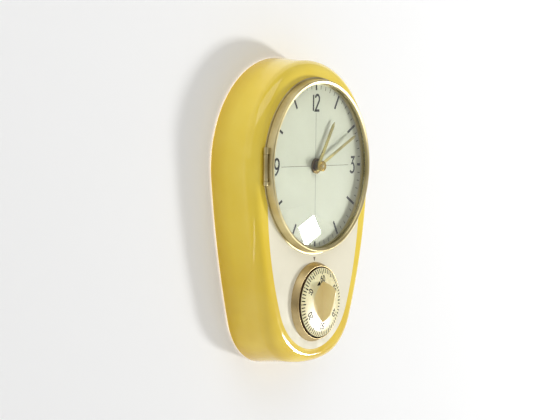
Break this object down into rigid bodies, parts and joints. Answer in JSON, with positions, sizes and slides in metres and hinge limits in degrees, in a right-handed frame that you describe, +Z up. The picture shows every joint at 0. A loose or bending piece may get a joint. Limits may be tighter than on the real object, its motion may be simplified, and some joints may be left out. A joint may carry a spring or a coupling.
{
  "type": "wall clock with timer",
  "caption": "Pear-shaped glazed ceramic kitchen wall clock with a hinged glazed bezel over a round dial and a rotary minute timer below it.",
  "frame": {"origin": "middle of the keyhole's round part, on the plane of the wall", "axes": "+Y into the wall, +Z up, so the face looks along -Y"},
  "size_m": [0.1846, 0.065, 0.2631],
  "materials": {
    "yellow_glaze": "glossy glaze, yellow sides and an ivory front",
    "polished_brass": "polished, lightly lacquered",
    "champagne_brass": "satin, pale lacquered brass",
    "satin_brass": "brushed brass",
    "plate_brass": "rolled brass sheet",
    "dial_paint": "matt printed dial, pale green white",
    "clear_glass": "clear domed glass",
    "steel": "plain turned steel",
    "blued_steel": "tempered spring steel",
    "nickel": "nickel-plated",
    "magnet": "sintered magnet",
    "copper_winding": "enamelled copper wire",
    "white_plastic": "moulded bobbin",
    "board": "phenolic board",
    "black_plastic": "moulded holder",
    "fibre": "vulcanised fibre",
    "cell_sleeve": "painted steel sleeve",
    "cream_plastic": "moulded cream plastic with printed scale",
    "tan_plastic": "gold-tan moulded grip"
  },
  "bodies": {
    "case": {"ceramic_body": "yellow_glaze", "dial_pan": "champagne_brass", "pan_studs": "steel", "stud_washers": "fibre", "stud_nuts": "nickel", "dial_plate": "dial_paint", "dial_nut": "polished_brass", "catch_spring": "steel", "minute_stud": "steel", "movement_bush": "plate_brass", "movement_front_plate": "plate_brass", "movement_back_plate": "plate_brass", "movement_pillars": "plate_brass", "movement_screws": "steel", "drive_coil": "copper_winding", "coil_post": "white_plastic", "circuit_board": "board", "transistor": "black_plastic", "battery_holder": "black_plastic", "battery_contacts": "nickel", "timer_ring": "satin_brass", "timer_screws": "steel", "timer_front_plate": "nickel", "timer_back_plate": "nickel", "timer_pillars": "plate_brass", "timer_pillar_screws": "steel", "mainspring": "blued_steel", "bell_post": "steel", "bell": "nickel", "bell_screw": "steel"},
    "bezel": {"bezel_ring": "champagne_brass", "glass_lens": "clear_glass", "glass_retainer": "steel", "hinge_pin": "polished_brass", "catch_tab": "polished_brass"},
    "minute_arbor": {"minute_hand": "polished_brass", "hand_nut": "polished_brass", "centre_arbor": "steel", "cannon_pinion": "plate_brass", "centre_wheel": "plate_brass"},
    "hour_pipe": {"hour_hand": "polished_brass", "hour_wheel": "plate_brass"},
    "motion_wheel": {"minute_wheel": "plate_brass"},
    "third_arbor": {"third_wheel": "plate_brass", "third_arbor": "steel"},
    "balance": {"balance_wheel": "plate_brass", "balance_staff": "steel", "balance_magnets": "magnet", "hairspring": "blued_steel"},
    "cell": {"battery": "cell_sleeve"},
    "timer_knob": {"timer_dial": "cream_plastic", "timer_grip": "tan_plastic", "timer_arbor": "steel", "timer_main_wheel": "plate_brass", "alarm_disc": "nickel"},
    "escape_arbor": {"timer_escape_wheel": "plate_brass"},
    "anchor": {"timer_anchor": "steel"},
    "hammer": {"bell_hammer": "plate_brass"}
  },
  "joints": [
    {"name": "bezel_hinge", "type": "hinge", "parent": "case", "child": "bezel", "pos_m": [-0.076, -0.0447, -0.072], "axis": [0, 0, -1], "range_deg": [0, 120]},
    {"name": "minute_spin", "type": "hinge", "parent": "case", "child": "minute_arbor", "pos_m": [0, -0.041, -0.072], "axis": [0, 1, 0], "continuous": true},
    {"name": "hour_spin", "type": "hinge", "parent": "case", "child": "hour_pipe", "pos_m": [0, -0.041, -0.072], "axis": [0, 1, 0], "continuous": true},
    {"name": "motion_wheel_spin", "type": "hinge", "parent": "case", "child": "motion_wheel", "pos_m": [-0.01018, -0.034, -0.06182], "axis": [0, 1, 0], "continuous": true},
    {"name": "third_spin", "type": "hinge", "parent": "case", "child": "third_arbor", "pos_m": [0.009, -0.028, -0.08759], "axis": [0, 1, 0], "continuous": true},
    {"name": "balance_swing", "type": "hinge", "parent": "case", "child": "balance", "pos_m": [-0.013, -0.02, -0.084], "axis": [0, 1, 0], "range_deg": [-135, 135], "stiffness_Nm_per_rad": 0.00006},
    {"name": "cell_slide", "type": "slide", "parent": "case", "child": "cell", "axis": [0, 1, 0], "range_m": [0, 0.036]},
    {"name": "timer_spin", "type": "hinge", "parent": "case", "child": "timer_knob", "pos_m": [0, -0.045, -0.1882], "axis": [0, 1, 0], "range_deg": [0, 360]},
    {"name": "escape_spin", "type": "hinge", "parent": "case", "child": "escape_arbor", "pos_m": [-0.01516, -0.025, -0.17945], "axis": [0, 1, 0], "range_deg": [-2160, 0]},
    {"name": "anchor_rock", "type": "hinge", "parent": "case", "child": "anchor", "pos_m": [-0.01516, -0.025, -0.16905], "axis": [0, 1, 0], "range_deg": [-6, 6]},
    {"name": "hammer_swing", "type": "hinge", "parent": "case", "child": "hammer", "pos_m": [0.01839, -0.012, -0.20363], "axis": [0, 1, 0], "range_deg": [0, 12], "stiffness_Nm_per_rad": 0.005, "springref_deg": -5.73}
  ],
  "couplings": [
    {"joint": "hour_spin", "follows": "minute_spin", "ratio": 0.083333},
    {"joint": "motion_wheel_spin", "follows": "minute_spin", "ratio": -0.33333},
    {"joint": "third_spin", "follows": "minute_spin", "ratio": -8},
    {"joint": "escape_spin", "follows": "timer_spin", "ratio": -6}
  ]
}
